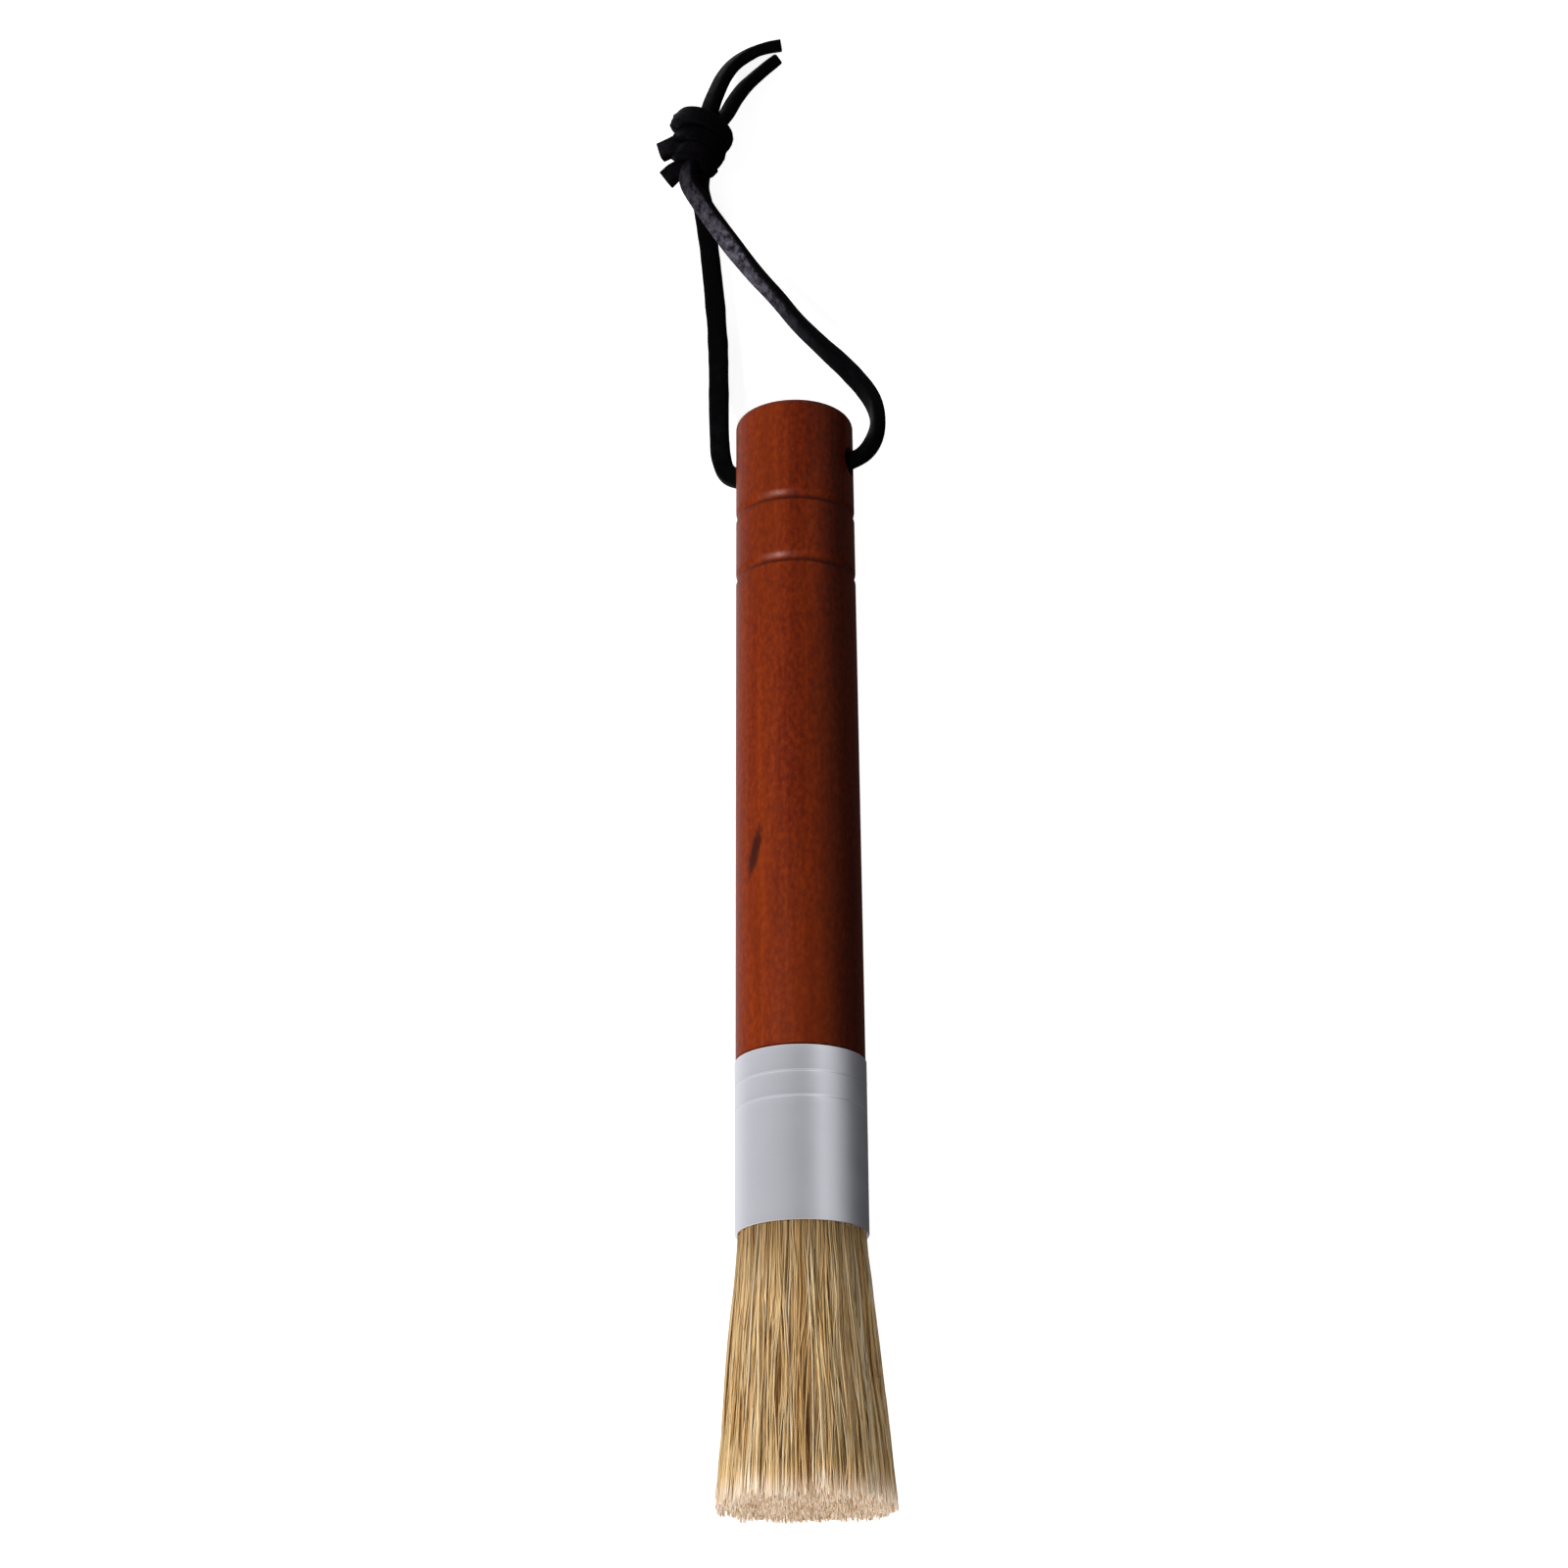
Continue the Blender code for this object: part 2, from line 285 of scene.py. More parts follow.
def turned(name, profile, closed=False):
    """A surface turned about the brush's axis. Its (radius, y) points run towards -Y on the outside."""
    angles = np.linspace(0, 2 * np.pi, TURN_SIDES, endpoint=False)
    radius, y = np.array(profile).T
    rings = np.stack(
        [
            radius[:, None] * np.cos(angles),
            np.repeat(y[:, None], TURN_SIDES, 1),
            AXIS_Z + radius[:, None] * np.sin(angles),
        ],
        -1,
    )
    return tubes(name, rings[None], closed)


def smooth_line(points, step):
    """Evenly spaced points on a smooth curve through the given points."""
    tangents = []
    for i in range(len(points)):
        before, after = points[max(i - 1, 0)], points[min(i + 1, len(points) - 1)]
        tangents.append((after - before).normalized())
    fine = [points[0]]
    for i in range(len(points) - 1):
        reach = (points[i + 1] - points[i]).length / 3
        out, back = points[i] + tangents[i] * reach, points[i + 1] - tangents[i + 1] * reach
        fine += interpolate_bezier(points[i], out, back, points[i + 1], 32)[1:]
    fine = np.array(fine)
    along = np.concatenate([[0], np.cumsum(np.linalg.norm(np.diff(fine, axis=0), axis=1))])
    wanted = np.linspace(0, along[-1], max(2, round(along[-1] / step) + 1))
    return np.stack([np.interp(wanted, along, fine[:, k]) for k in range(3)], -1)


def ribbon(name, line, rolls, rubbed, seed):
    """A flat lace with round edges. rolls turn it about its line, and rubbed is where a painted sheen pales
    its face.
    """
    noise = np.random.default_rng(seed)
    tangent = np.gradient(line, axis=0)
    tangent /= np.linalg.norm(tangent, axis=1)[:, None]
    side = np.cross(tangent, (0, 0, 1))
    side /= np.linalg.norm(side, axis=1)[:, None]
    up = np.cross(side, tangent)
    share = np.linspace(0, 1, len(line))
    roll = np.radians(np.interp(share, *np.array(rolls, float).T))
    soften = np.hanning(13) / np.hanning(13).sum()
    roll = np.convolve(np.pad(roll, 6, "edge"), soften, "valid")[:, None]
    across = side * np.cos(roll) + up * np.sin(roll)
    through = up * np.cos(roll) - side * np.sin(roll)
    # Where the lace is a little wider, it is thinner
    wobble = np.convolve(noise.normal(0, 1, len(line) + 12), soften, "valid")
    wobble = 1 + 0.05 * wobble / np.abs(wobble).max()
    angles = np.linspace(0, 2 * np.pi, LACE_SIDES, endpoint=False)
    squareness = 2 / 4.5  # 1 makes the section an ellipse, and nearer 0 a rectangle
    x = np.sign(np.sin(angles)) * np.abs(np.sin(angles)) ** squareness * LACE_WIDTH / 2
    z = np.sign(np.cos(angles)) * np.abs(np.cos(angles)) ** squareness * LACE_THICKNESS / 2
    rings = (
        line[:, None]
        + across[:, None] * (x * wobble[:, None])[..., None]
        + through[:, None] * (z / wobble[:, None])[..., None]
    )
    ends = [rings[0] * 0.25 + line[0] * 0.75, rings[-1] * 0.25 + line[-1] * 0.75]
    rings = np.concatenate([ends[0][None], rings, ends[1][None]])
    mesh = tubes(name, rings[None])
    # The painted sheen: how much each point of the upper face is paled, as if light glanced off it
    strength = np.interp(share, *np.array(rubbed, float).T)
    strength = np.concatenate([[0], strength, [0]])
    face = np.clip(np.cos(angles) * 1.6, 0, 1)
    layer = mesh.attributes.new("rubbed", "FLOAT", "POINT")
    layer.data.foreach_set("value", (strength[:, None] * face).astype(np.float32).ravel())
    return mesh


# ---------------------------------------------------------------- materials


class Look:
    """A node material that is built up in a few calls."""

    def __init__(self, name, **shader):
        self.material = bpy.data.materials.new(name)
        self.material.use_nodes = True
        self.tree = self.material.node_tree
        self.shader = self.tree.nodes["Principled BSDF"]
        for socket, value in shader.items():
            self.set(self.shader.inputs[socket.replace("_", " ")], value)
        self.place = self.add("ShaderNodeTexCoord").outputs["Object"]

    def add(self, kind, **settings):
        node = self.tree.nodes.new(kind)
        for name, value in settings.items():
            setattr(node, name, value)
        return node

    def set(self, socket, value):
        if isinstance(value, bpy.types.NodeSocket):
            self.tree.links.new(value, socket)
        elif isinstance(value, tuple) and len(value) == 3 and socket.type == "RGBA":
            socket.default_value = (*value, 1)
        else:
            socket.default_value = value

    def scaled(self, scale):
        node = self.add("ShaderNodeMapping")
        self.set(node.inputs["Vector"], self.place)
        node.inputs["Scale"].default_value = scale
        return node.outputs["Vector"]

    def noise(self, place, scale, detail=3.0, roughness=0.5, distortion=0.0):
        node = self.add("ShaderNodeTexNoise")
        self.set(node.inputs["Vector"], place)
        for socket, value in (
            ("Scale", scale),
            ("Detail", detail),
            ("Roughness", roughness),
            ("Distortion", distortion),
        ):
            node.inputs[socket].default_value = value
        return node.outputs["Fac"]

    def cells(self, place, scale):
        node = self.add("ShaderNodeTexVoronoi")
        self.set(node.inputs["Vector"], place)
        node.inputs["Scale"].default_value = scale
        return node.outputs["Distance"]

    def ramp(self, value, *stops):
        """stops are (position, colour or grey) pairs."""
        node = self.add("ShaderNodeValToRGB")
        self.set(node.inputs["Fac"], value)
        elements = node.color_ramp.elements
        while len(elements) < len(stops):
            elements.new(0.5)
        for element, (position, colour) in zip(elements, stops):
            element.position = position
            element.color = (*colour, 1) if isinstance(colour, tuple) else (colour, colour, colour, 1)
        return node.outputs["Color"]

    def math(self, operation, a, b=0.0):
        node = self.add("ShaderNodeMath", operation=operation)
        self.set(node.inputs[0], a)
        self.set(node.inputs[1], b)
        return node.outputs["Value"]

    def attribute(self, name):
        return self.add("ShaderNodeAttribute", attribute_name=name).outputs["Fac"]

    def mix(self, share, a, b):
        node = self.add("ShaderNodeMix", data_type="RGBA")
        self.set(node.inputs[0], share)
        self.set(node.inputs[6], a)
        self.set(node.inputs[7], b)
        return node.outputs[2]

    def apart(self):
        node = self.add("ShaderNodeSeparateXYZ")
        self.set(node.inputs["Vector"], self.place)
        return node.outputs["X"], node.outputs["Y"], node.outputs["Z"]

    def bump(self, height, distance, strength):
        node = self.add("ShaderNodeBump")
        self.set(node.inputs["Height"], height)
        node.inputs["Distance"].default_value = distance
        node.inputs["Strength"].default_value = strength
        self.set(self.shader.inputs["Normal"], node.outputs["Normal"])


def wood_look():
    look = Look("lacquered_wood", Coat_Weight=0.08, Coat_Roughness=0.22, Specular_IOR_Level=0.07)
    x, y, z = look.apart()
    z = look.math("SUBTRACT", z, AXIS_Z)
    # The dark inclined mark of a small knot on the handle's upper left
    mark_y, mark_turn, mark_lean = 11.0 * MM, math.radians(-41.5), 0.28
    mark_half_width, mark_half_length = 1.3 * MM, 5.0 * MM
    round_by = look.math("ARCTAN2", x, z)
    across = look.math("MULTIPLY", look.math("SUBTRACT", round_by, mark_turn), 10 * MM)
    along = look.math("SUBTRACT", y, mark_y)
    across = look.math("SUBTRACT", across, look.math("MULTIPLY", along, mark_lean))
    reach = look.math(
        "SQRT",
        look.math(
            "ADD",
            look.math("POWER", look.math("DIVIDE", across, mark_half_width), 2.0),
            look.math("POWER", look.math("DIVIDE", along, mark_half_length), 2.0),
        ),
    )
    ragged = look.math("MULTIPLY", look.noise(look.scaled((1, 0.3, 1)), 2600, 3), 0.7)
    reach = look.math("ADD", reach, look.math("SUBTRACT", ragged, 0.35))
    mark = look.ramp(reach, (0.0, 1.0), (0.55, 0.9), (1.0, 0.0))
    # Long streaks, a fine mottle of the stain and short open pores
    streaks = look.noise(look.scaled((1, 0.045, 1)), 520, 4, 0.55, 0.6)
    mottle = look.noise(look.scaled((1, 0.55, 1)), 1500, 3, 0.6)
    broad = look.noise(look.scaled((1, 0.10, 1)), 120, 2)
    pores = look.cells(look.scaled((1, 0.09, 1)), 1900)
    colour = look.ramp(
        look.math("ADD", look.math("MULTIPLY", streaks, 0.42), look.math("MULTIPLY", mottle, 0.58)),
        (0.33, (0.085, 0.0048, 0.0001)),
        (0.50, (0.180, 0.0160, 0.0002)),
        (0.69, (0.290, 0.0360, 0.0009)),
    )
    colour = look.mix(look.ramp(broad, (0.35, 0.0), (0.70, 0.40)), colour, (0.270, 0.0400, 0.0010))
    colour = look.mix(look.ramp(pores, (0.06, 0.40), (0.20, 0.0)), colour, (0.050, 0.004, 0.001))
    colour = look.mix(look.math("MULTIPLY", mark, 0.9), colour, (0.022, 0.002, 0.001))
    # Painted shade: a dark line in the lower part of each turned groove, where the groove lies in shade
    groove_shade_y, groove_shade_half_width = 0.45 * MM, 0.6 * MM
    for from_end in GROOVES_FROM_END:
        off = look.math("ABSOLUTE", look.math("SUBTRACT", y, END_Y - from_end + groove_shade_y))
        line = look.ramp(look.math("DIVIDE", off, groove_shade_half_width), (0.15, 0.65), (1.0, 0.0))
        colour = look.mix(line, colour, (0.045, 0.004, 0.001))
    look.set(look.shader.inputs["Base Color"], colour)
    look.set(look.shader.inputs["Roughness"], look.ramp(streaks, (0.3, 0.40), (0.7, 0.50)))
    height = look.math("ADD", look.math("MULTIPLY", streaks, 0.5), look.math("MULTIPLY", pores, 0.25))
    height = look.math("ADD", height, look.math("MULTIPLY", look.noise(look.place, 420, 2), 0.6))
    look.bump(height, 0.05 * MM, 0.6)
    return look.material


def metal_look():
    look = Look("satin_aluminium", Metallic=1.0)
    brushed = look.noise(look.scaled((1, 28, 1)), 420, 3, 0.6)
    soft = look.noise(look.place, 190, 3)
    tone = look.math("ADD", brushed, look.math("MULTIPLY", soft, 0.4))
    colour = look.ramp(tone, (0.35, 0.86), (0.95, 0.95))
    look.set(look.shader.inputs["Base Color"], look.mix(0.5, colour, (0.84, 0.85, 1.00)))
    look.set(look.shader.inputs["Roughness"], look.ramp(soft, (0.3, 0.28), (0.7, 0.34)))
    look.bump(look.math("ADD", brushed, soft), 0.01 * MM, 0.35)
    return look.material


def bristle_look():
    look = Look("natural_bristle", Specular_IOR_Level=0.35)
    shade = look.attribute("shade")
    along = look.attribute("along")
    fleck = look.noise(look.scaled((1, 0.25, 1)), 900, 2)
    tone = look.math("ADD", look.math("MULTIPLY", shade, 0.85), look.math("MULTIPLY", fleck, 0.15))
    colour = look.ramp(
        tone,
        (0.10, (0.340, 0.150, 0.036)),
        (0.36, (0.640, 0.385, 0.145)),
        (0.62, (0.850, 0.640, 0.340)),
        (0.88, (0.960, 0.830, 0.620)),
    )
    # Browner at the ferrule and paler at the tips, the light bristles most of all
    colour = look.mix(look.ramp(along, (0.0, 0.75), (0.30, 0.0)), colour, (0.330, 0.190, 0.070))
    at_tip = look.ramp(along, (0.92, 0.0), (1.0, 0.70))
    light_one = look.ramp(shade, (0.15, 0.20), (0.55, 1.0))
    colour = look.mix(look.math("MULTIPLY", at_tip, light_one), colour, (0.900, 0.795, 0.710))
    look.set(look.shader.inputs["Base Color"], colour)
    look.set(look.shader.inputs["Roughness"], look.ramp(fleck, (0.3, 0.42), (0.7, 0.56)))
    return look.material


def leather_look():
    look = Look("black_leather", Specular_IOR_Level=0.02)
    grain = look.cells(look.place, 2600)
    creases = look.noise(look.place, 900, 4, 0.6)
    worn = look.noise(look.place, 260, 4, 0.65)
    black, worn_black = (0.0012, 0.0010, 0.0014), (0.0055, 0.0040, 0.0055)
    colour = look.mix(look.ramp(worn, (0.52, 0.0), (0.72, 0.7)), black, worn_black)
    # A painted sheen: flecked pale streaks where the lace's face would catch the light
    flecks = look.ramp(look.noise(look.place, 750, 5, 0.75), (0.40, 0.08), (0.64, 1.0))
    rubbed = look.math("MULTIPLY", look.math("POWER", look.attribute("rubbed"), 2.0), flecks)
    colour = look.mix(rubbed, colour, (0.220, 0.200, 0.260))
    look.set(look.shader.inputs["Base Color"], colour)
    look.set(look.shader.inputs["Roughness"], look.ramp(creases, (0.3, 0.42), (0.7, 0.62)))
    height = look.math("ADD", look.math("MULTIPLY", grain, 0.6), look.math("MULTIPLY", creases, 0.7))
    look.bump(height, 0.12 * MM, 0.7)
    return look.material


def resin_look():
    look = Look("cast_resin", Roughness=0.35)
    clouds = look.noise(look.place, 350, 3)
    look.set(
        look.shader.inputs["Base Color"],
        look.ramp(clouds, (0.3, (0.30, 0.18, 0.07)), (0.7, (0.46, 0.31, 0.15))),
    )
    look.bump(clouds, 0.1 * MM, 0.4)
    return look.material


def floor_look():
    look = Look("pale_floor", Roughness=0.9)
    look.set(look.shader.inputs["Base Color"], (0.5, 0.5, 0.5))
    look.set(look.shader.inputs["Emission Color"], (1.0, 1.0, 1.0))
    look.set(look.shader.inputs["Emission Strength"], 0.90)
    return look.material


# ---------------------------------------------------------------- pieces


def handle_radius(y):
    """The handle swells gently from its end to the ferrule."""
    along = (END_Y - y) / (END_Y - SHOULDER_Y)
    swell = HANDLE_SHOULDER_RADIUS - HANDLE_END_RADIUS
    return HANDLE_END_RADIUS + swell * (0.55 * math.sin(math.pi / 2 * along) + 0.45 * along**2)


def groove(lower_y):
    """A turned groove with a long upper slope, a round bottom and a short lower wall, its lips eased."""
    points, steps, slope_share = [], 24, 0.74
    for i in range(steps + 1):
        down = i / steps
        upper = min(down / slope_share, 1)
        lower = min((1 - down) / (1 - slope_share), 1)
        deep = math.sin(math.pi / 2 * upper) ** 2 * math.sin(math.pi / 2 * lower) ** 0.8
        y = lower_y + GROOVE_WIDTH * (1 - down)
        points.append((handle_radius(y) - GROOVE_DEPTH * deep, y))
    return points


def hole_cutter():
    """A round bore along the hole's axis, which opens a little at both mouths."""
    # Distance along the axis and how much wider than the bore it is there
    mouth = ((8.6 * MM, 0), (9.3 * MM, 0.15 * MM), (10.2 * MM, 0.65 * MM), (14 * MM, 1.3 * MM))
    stations = [(-along, HOLE_RADIUS + wider) for along, wider in reversed(mouth)]
    stations += [(along, HOLE_RADIUS + wider) for along, wider in mouth]
    angles = np.linspace(0, 2 * np.pi, 48, endpoint=False)
    axis = np.array(HOLE_AXIS)
    across = np.array((0.0, 1.0, 0.0))
    third = np.cross(axis, across)
    rings = [
        np.array(HOLE_CENTRE)
        + axis * along
        + (np.cos(angles)[:, None] * across + np.sin(angles)[:, None] * third) * radius
        for along, radius in stations
    ]
    cutter = bpy.data.objects.new("hole_cutter", tubes("hole_cutter", np.array(rings)[None]))
    bpy.context.scene.collection.objects.link(cutter)
    return cutter


def make_handle(look):
    middle, shoulder_edge = 0.4 * MM, 0.15 * MM
    corner = (handle_radius(END_Y - END_ROUND) - END_ROUND, END_Y - END_ROUND)
    profile = [(middle, END_Y)] + arc(corner, END_ROUND, 90, 0, 10)
    for from_end in GROOVES_FROM_END:
        profile += groove(END_Y - from_end)
    last = END_Y - GROOVES_FROM_END[-1]
    profile += [(handle_radius(y), y) for y in np.linspace(last, SHOULDER_Y + shoulder_edge, 30)[1:]]
    profile += [
        (HANDLE_SHOULDER_RADIUS - shoulder_edge, SHOULDER_Y),
        (TENON_RADIUS, SHOULDER_Y),
        (TENON_RADIUS, TENON_END_Y + MM),
        (TENON_RADIUS - MM, TENON_END_Y),
        (middle, TENON_END_Y),
    ]
    rough = bpy.data.objects.new("handle_rough", turned("handle_rough", spread(profile, 2.2 * MM)))
    bpy.context.scene.collection.objects.link(rough)
    cutter = hole_cutter()
    bore = rough.modifiers.new("Bore", "BOOLEAN")
    bore.operation = "DIFFERENCE"
    bore.solver = "EXACT"
    bore.object = cutter
    evaluated = rough.evaluated_get(bpy.context.evaluated_depsgraph_get())
    mesh = bpy.data.meshes.new_from_object(evaluated)
    mesh.name = "turned_handle"
    for used in (rough, cutter):
        bpy.data.objects.remove(used)
    finish_piece(add_piece("turned_handle", mesh), "brush", ["handle"], look)


def make_ferrule(look):
    back, front = ferrule_high.y, MOUTH_Y
    inner = FERRULE_RADIUS - FERRULE_WALL
    edge = 0.14 * MM
    crimp_steps = 16
    profile = arc((FERRULE_RADIUS - edge, back - edge), edge, 90, 0, 5)
    for from_back in CRIMPS_FROM_BACK:
        for i in range(crimp_steps + 1):
            down = i / crimp_steps
            y = SHOULDER_Y - from_back + CRIMP_WIDTH * (0.5 - down)
            profile.append((FERRULE_RADIUS - CRIMP_DEPTH * math.sin(math.pi * down) ** 2, y))
    profile += arc((FERRULE_RADIUS - edge, front + edge), edge, 0, -90, 5)
    profile += [(inner, front), (inner, back)]
    mesh = turned("rolled_ferrule", spread(profile, 1.5 * MM), closed=True)
    finish_piece(add_piece("rolled_ferrule", mesh), "brush", ["ferrule"], look)


def flare(t):
    """How far a bristle has spread at t, 0 at the ferrule's mouth and 1 at the tuft's tip."""
    return 0.05 * (1 - np.exp(-t / 0.02)) + 0.93 * t**1.3 - 0.05 * t**6


def bristle_lines():
    """The bristles' middle lines, shaped (bristle, ring, 3), outermost last, their tones, and their t."""
    mouth_radius = FERRULE_RADIUS - FERRULE_WALL - BRISTLE_GAP
    order = (np.arange(BRISTLES) + 0.5) / BRISTLES
    out = np.sqrt(order) * (1 + rng.normal(0, 0.012, BRISTLES))
    out = np.minimum(out, 1.0)
    turn = np.arange(BRISTLES) * GOLDEN_TURN + rng.normal(0, 0.05, BRISTLES)
    root = np.stack([out * np.cos(turn), out * np.sin(turn)], -1)
    # Neighbouring bristles draw together in locks, and each lock leans and sways its own way
    lock_out = np.sqrt((np.arange(LOCKS) + 0.5) / LOCKS)
    lock_turn = np.arange(LOCKS) * GOLDEN_TURN + rng.normal(0, 0.25, LOCKS)
    locks = np.stack([lock_out * np.cos(lock_turn), lock_out * np.sin(lock_turn)], -1)
    lock_shade = rng.normal(0, 1, LOCKS)
    lock_lean = rng.normal(0, LOCK_LEAN, (LOCKS, 2))
    lock_sway = rng.normal(0, LOCK_SWAY, (LOCKS, 2))
    lock_phase = rng.uniform(0, 2 * math.pi, LOCKS)
    lock_short = np.abs(rng.normal(0, LOCK_SHORT, LOCKS))
    nearest = np.linalg.norm(root[:, None] - locks[None], axis=2).argmin(1)
    pull = rng.uniform(0.15, 0.65, BRISTLES)[:, None]
    tip = root + (locks[nearest] - root) * pull + lock_lean[nearest]
    tip = tip + rng.normal(0, 0.060, (BRISTLES, 2))
    reach = np.linalg.norm(tip, axis=1, keepdims=True)
    tip *= np.where(reach > 1.0, (1.0 + 0.25 * (reach - 1.0)) / reach, 1.0)
    t = np.linspace(-0.08, 1, BRISTLE_RINGS)
    t_spread = np.clip(t, 0, None)[None, :, None]
    start, finish = root[:, None] * mouth_radius, tip[:, None] * TIP_RADIUS
    line = start + (finish - start) * flare(t_spread)
    bow = rng.normal(0, BRISTLE_BOW, (BRISTLES, 1, 2)) * np.sin(math.pi * t_spread)
    own_phase = rng.uniform(0, 2 * math.pi, (BRISTLES, 1, 1))
    wave = rng.normal(0, BRISTLE_WAVE, (BRISTLES, 1, 2)) * np.sin(3.6 * math.pi * t_spread + own_phase)
    phase = lock_phase[nearest][:, None, None]
    sway = lock_sway[nearest][:, None] * np.sin(2.4 * math.pi * t_spread + phase)
    line = line + (bow + (wave + sway) * np.clip(t_spread * 4, 0, 1)) * (1 - 0.35 * t_spread)
    # The bundle's sides are straight, and a bristle that would stray past them is drawn back in
    side = mouth_radius + 0.15 * MM + 0.89 * (TIP_RADIUS - mouth_radius) * t_spread
    reach = np.linalg.norm(line, axis=2, keepdims=True)
    line *= np.where(reach > side, (side + 0.15 * (reach - side)) / reach, 1.0)
    length = 1 - np.abs(rng.normal(0, BRISTLE_SHORT, BRISTLES)) - lock_short[nearest]
    y = MOUTH_Y + (TIP_Y - MOUTH_Y) * t[None] * length[:, None]
    points = np.stack([line[..., 0] + TUFT_LEAN * t_spread[..., 0], y, AXIS_Z + line[..., 1]], -1)
    # Where the bundle would sink into the floor, its bristles lie on it in a thin layer
    layer = rng.uniform(0, FLOOR_LAYER, BRISTLES)[:, None]
    low = BRISTLE_RADIUS * 1.3 + layer * np.clip(t, 0, 1)[None] ** 1.5
    under = low - points[..., 2]
    points[..., 2] = np.where(under > 0, low + 0.05 * under, points[..., 2])
    # Bristles below the surface are painted darker and browner, a painted shade between the locks, so the
    # gaps between them look warm
    shade = 0.54 + 0.07 * lock_shade[nearest] + rng.normal(0, 0.16, BRISTLES)
    shade -= 0.18 * np.clip((0.98 - out) / 0.12, 0, 1)
    return points, np.clip(shade, 0, 1), t


def bristle_tubes(name, lines, shades, t):
    tangent = np.gradient(lines, axis=1)
    tangent /= np.linalg.norm(tangent, axis=2, keepdims=True)
    side = np.cross(tangent, (0, 0, 1.0))
    side /= np.linalg.norm(side, axis=2, keepdims=True)
    up = np.cross(side, tangent)
    angles = np.linspace(0, 2 * np.pi, BRISTLE_SIDES, endpoint=False)
    angles = angles[None] + rng.uniform(0, 2 * np.pi, len(lines))[:, None]
    taper = 1.05 - 0.35 * np.clip(t, 0, 1) ** 2
    radius = BRISTLE_RADIUS * rng.uniform(0.75, 1.25, len(lines))[:, None] * taper[None]
    cosine, sine = np.cos(angles)[:, None, :, None], np.sin(angles)[:, None, :, None]
    ring = up[:, :, None] * cosine + side[:, :, None] * sine
    mesh = tubes(name, lines[:, :, None] + ring * radius[..., None, None])
    for attribute, values in (
        ("shade", np.repeat(shades, BRISTLE_RINGS * BRISTLE_SIDES)),
        ("along", np.tile(np.repeat(np.clip(t, 0, 1), BRISTLE_SIDES), len(lines))),
    ):
        layer = mesh.attributes.new(attribute, "FLOAT", "POINT")
        layer.data.foreach_set("value", values.astype(np.float32))
    cells = bristle_cells(len(lines)).astype(np.float32)
    mesh.uv_layers.new(name="OFBake").data.foreach_set("uv", cells.ravel())
    return mesh


def bristle_cells(count):
    """Each bristle's own cell of the square map, with its sides across the cell and its length up it."""
    cells = math.ceil(math.sqrt(count))
    ring, side = np.meshgrid(np.arange(BRISTLE_RINGS - 1), np.arange(BRISTLE_SIDES), indexing="ij")
    u = np.stack([side, side + 1, side + 1, side], -1) / BRISTLE_SIDES
    v = np.stack([ring, ring, ring + 1, ring + 1], -1) / (BRISTLE_RINGS - 1)
    sides = np.stack([u, v], -1).reshape(-1, 2)
    cap_u = np.arange(BRISTLE_SIDES) / BRISTLE_SIDES
    caps = []
    for inner, edge in ((0.05, 0), (0.95, 1)):
        caps.append(np.stack([cap_u, np.where(np.arange(BRISTLE_SIDES) == 1, inner, edge)], -1))
    column, row = np.arange(count) % cells, np.arange(count) // cells
    corner = np.stack([column, row], -1)[:, None]
    margin = 0.08
    placed = [(corner + margin + (1 - 2 * margin) * part[None]) / cells for part in (sides, *caps)]
    return np.concatenate([part.reshape(-1, 2) for part in placed])


def make_bristles(look):
    lines, shades, t = bristle_lines()
    in_each = BRISTLES // len(BRISTLE_PIECES)
    for layer, name in enumerate(BRISTLE_PIECES):
        chosen = slice(in_each * layer, in_each * (layer + 1))
        mesh = bristle_tubes(name, lines[chosen], shades[chosen], t)
        finish_piece(add_piece(name, mesh, math.pi), "brush", ["bristle_tuft"], look)


def in_metres(points):
    return [Vector(p) * MM for p in points]


def in_hole(sign):
    return [HOLE_CENTRE + HOLE_AXIS * sign * along * MM for along in IN_HOLE]


def make_lace(look):
    """The lace's two halves, each from the hole's middle through the knot to its cut end, and the knot."""
    left = smooth_line(in_hole(-1) + in_metres(LEFT_STRAND + LEFT_IN_KNOT + TAIL_LONG), LACE_STEP)
    right = smooth_line(in_hole(1) + in_metres(RIGHT_STRAND + RIGHT_IN_KNOT + TAIL_SHORT), LACE_STEP)
    left_mesh = ribbon("lace_left_half", left, LEFT_ROLLS, LEFT_PAINTED_SHEEN, seed=3)
    left_half = add_piece("lace_left_half", left_mesh)
    right_mesh = ribbon("lace_right_half", right, RIGHT_ROLLS, RIGHT_PAINTED_SHEEN, seed=4)
    right_half = add_piece("lace_right_half", right_mesh)
    finish_piece(left_half, "lanyard", ["lace_loop", "lace_tail_long"], look)
    finish_piece(right_half, "lanyard", ["lace_loop", "lace_tail_short"], look)
    knot = make_knot(look)


def knot_place(turn, along, grow=1.0):
    """A point beside the knot's axis. turn is in degrees: 0 is on the right, 90 on top, 180 on the left."""
    share = (along + KNOT_LENGTH / 2) / KNOT_LENGTH
    right = Vector((math.cos(KNOT_LEAN), -math.sin(KNOT_LEAN), 0))
    angle = math.radians(turn)
    across = (TURN_ACROSS_LOW + (TURN_ACROSS_HIGH - TURN_ACROSS_LOW) * share) * grow * math.cos(angle)
    above = Vector((0, 0, TURN_UP * grow * math.sin(angle)))
    return KNOT_LOW.lerp(KNOT_HIGH, share) + right * across + above


